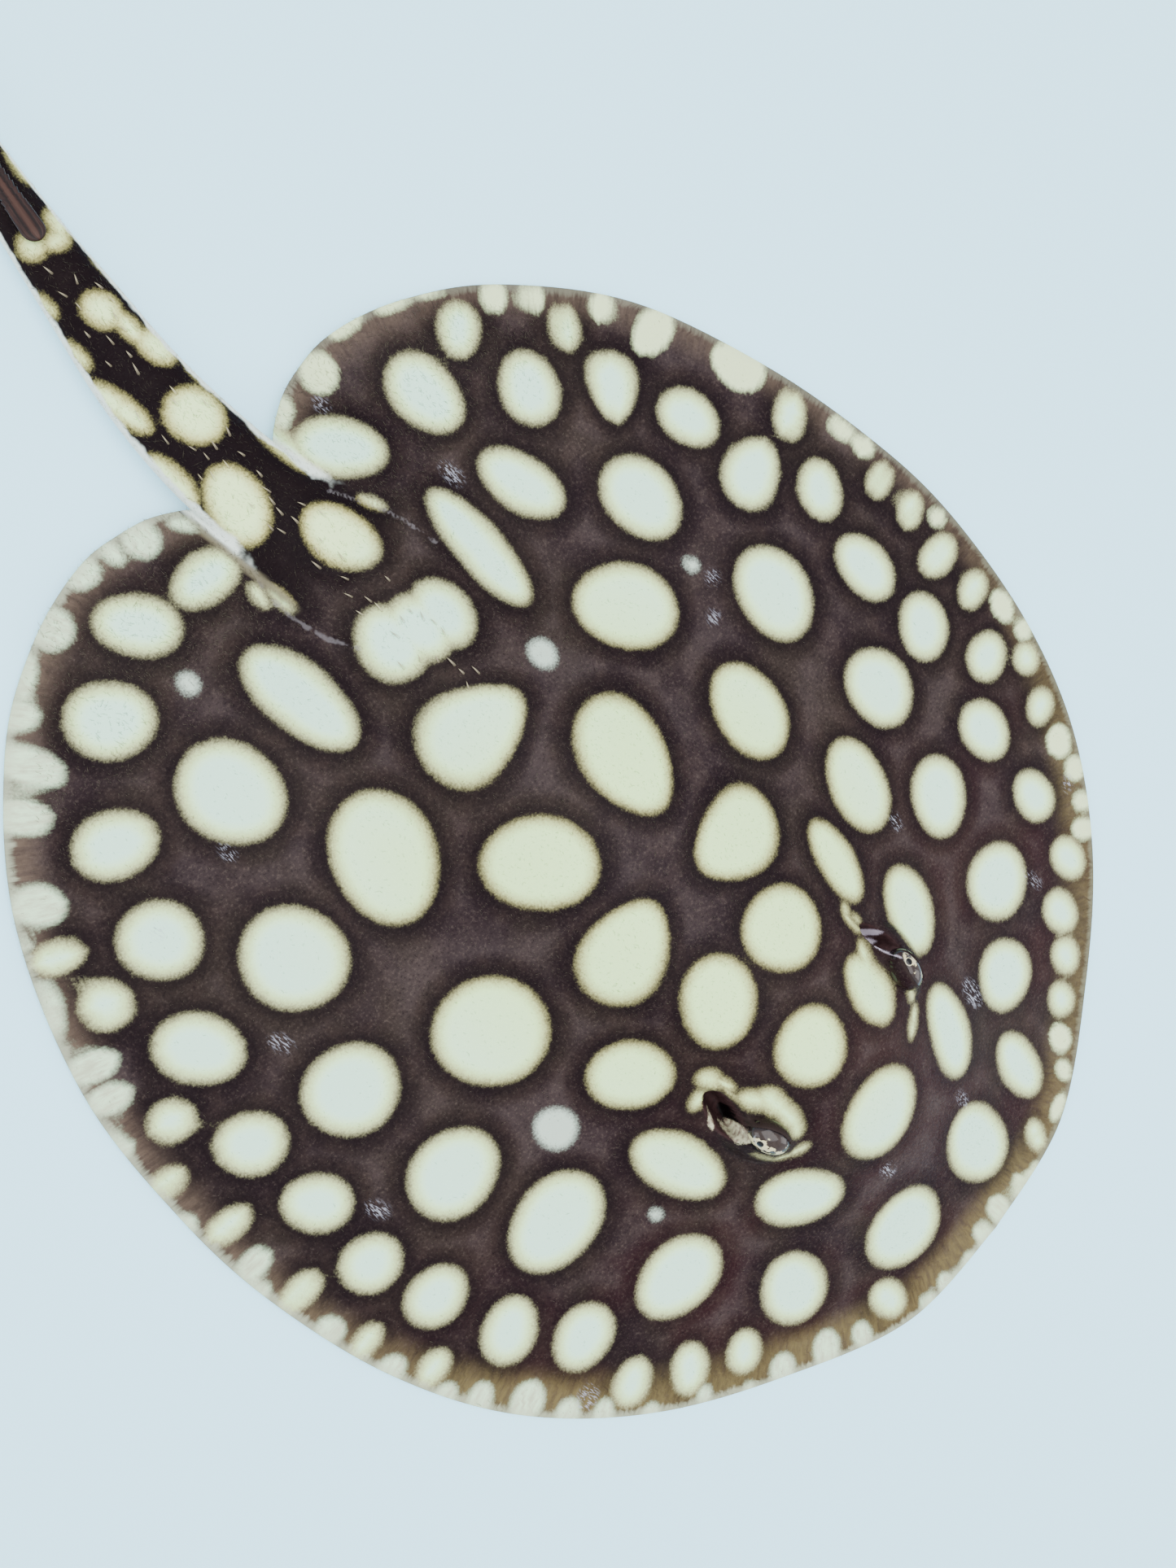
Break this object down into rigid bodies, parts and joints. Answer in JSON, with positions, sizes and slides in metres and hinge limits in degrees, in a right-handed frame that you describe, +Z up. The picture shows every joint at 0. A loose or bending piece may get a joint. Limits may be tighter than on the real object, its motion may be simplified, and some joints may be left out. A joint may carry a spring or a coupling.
{
  "type": "freshwater stingray model",
  "caption": "Life-size still model of a spotted freshwater stingray lying flat, with an oval disc, a thick tail that thins to a point and a sting on it.",
  "frame": {"origin": "middle of the flat of the belly, on the floor", "axes": "+Z up, -Y the way the snout points, +Y towards the tail, +X the animal's left"},
  "size_m": [0.3472, 0.605, 0.0347],
  "materials": {
    "skin": "damp skin, brown-black with cream spots, satin",
    "sting_horn": "horn, satin",
    "eyeball": "wet and glossy"
  },
  "bodies": {
    "root": {"snout": "skin", "head": "skin", "trunk": "skin", "pectoral_fin_left": "skin", "pectoral_fin_right": "skin", "pelvic_fin_left": "skin", "pelvic_fin_right": "skin", "tail_base": "skin", "tail_middle": "skin", "tail_rear": "skin", "tail_tip": "skin", "sting": "sting_horn", "eye_left": "eyeball", "eye_right": "eyeball"}
  },
  "joints": []
}
